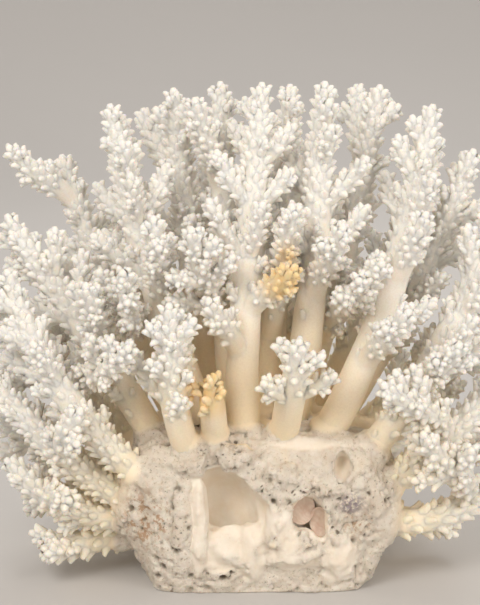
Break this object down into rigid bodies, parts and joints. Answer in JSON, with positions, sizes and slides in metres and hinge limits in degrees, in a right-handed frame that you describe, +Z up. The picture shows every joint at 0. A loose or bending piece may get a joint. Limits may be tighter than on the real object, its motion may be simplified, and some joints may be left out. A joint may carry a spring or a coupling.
{
  "type": "coral skeleton",
  "caption": "Branching coral skeleton: a fan-shaped bush of knobbly, forked branches spreading from a rough base with hollows in its front, cut flat underneath.",
  "frame": {"origin": "centre of the flat cut foot under the base", "axes": "+X to the right seen from the front, +Y to the back, +Z up, away from the foot"},
  "size_m": [0.2592, 0.1815, 0.2252],
  "materials": {
    "coral_branch": "matt chalky white at the tips, warm cream lower down, studded with small tubular cups",
    "coral_base": "rough porous cream grey with dark pits, smooth inside the hollows"
  },
  "bodies": {
    "root": {"back_stem_1": "coral_branch", "back_stem_10": "coral_branch", "back_stem_11": "coral_branch", "back_stem_2": "coral_branch", "back_stem_3": "coral_branch", "back_stem_4": "coral_branch", "back_stem_5": "coral_branch", "back_stem_6": "coral_branch", "back_stem_7": "coral_branch", "back_stem_8": "coral_branch", "back_stem_9": "coral_branch", "base": "coral_base", "centre_stem_1": "coral_branch", "centre_stem_1_fork_1": "coral_branch", "centre_stem_1_fork_2": "coral_branch", "centre_stem_2": "coral_branch", "centre_stem_3": "coral_branch", "centre_stem_3_fork_1": "coral_branch", "centre_stub": "coral_branch", "left_stem_1": "coral_branch", "left_stem_10": "coral_branch", "left_stem_11": "coral_branch", "left_stem_11_fork_1": "coral_branch", "left_stem_12": "coral_branch", "left_stem_13": "coral_branch", "left_stem_1_fork_1": "coral_branch", "left_stem_1_fork_2": "coral_branch", "left_stem_2": "coral_branch", "left_stem_2_fork_1": "coral_branch", "left_stem_3": "coral_branch", "left_stem_3_fork_1": "coral_branch", "left_stem_4": "coral_branch", "left_stem_5": "coral_branch", "left_stem_5_fork_1": "coral_branch", "left_stem_5_fork_2": "coral_branch", "left_stem_6": "coral_branch", "left_stem_6_fork_1": "coral_branch", "left_stem_7": "coral_branch", "left_stem_8": "coral_branch", "left_stem_8_fork_1": "coral_branch", "left_stem_9": "coral_branch", "left_stem_9_fork_1": "coral_branch", "right_stem_1": "coral_branch", "right_stem_10": "coral_branch", "right_stem_1_fork_1": "coral_branch", "right_stem_2": "coral_branch", "right_stem_2_fork_1": "coral_branch", "right_stem_2_fork_2": "coral_branch", "right_stem_3": "coral_branch", "right_stem_3_fork_1": "coral_branch", "right_stem_3_fork_2": "coral_branch", "right_stem_4": "coral_branch", "right_stem_5": "coral_branch", "right_stem_5_fork_1": "coral_branch", "right_stem_6": "coral_branch", "right_stem_7": "coral_branch", "right_stem_7_fork_1": "coral_branch", "right_stem_8": "coral_branch", "right_stem_9": "coral_branch", "right_stem_9_fork_1": "coral_branch"}
  },
  "joints": []
}
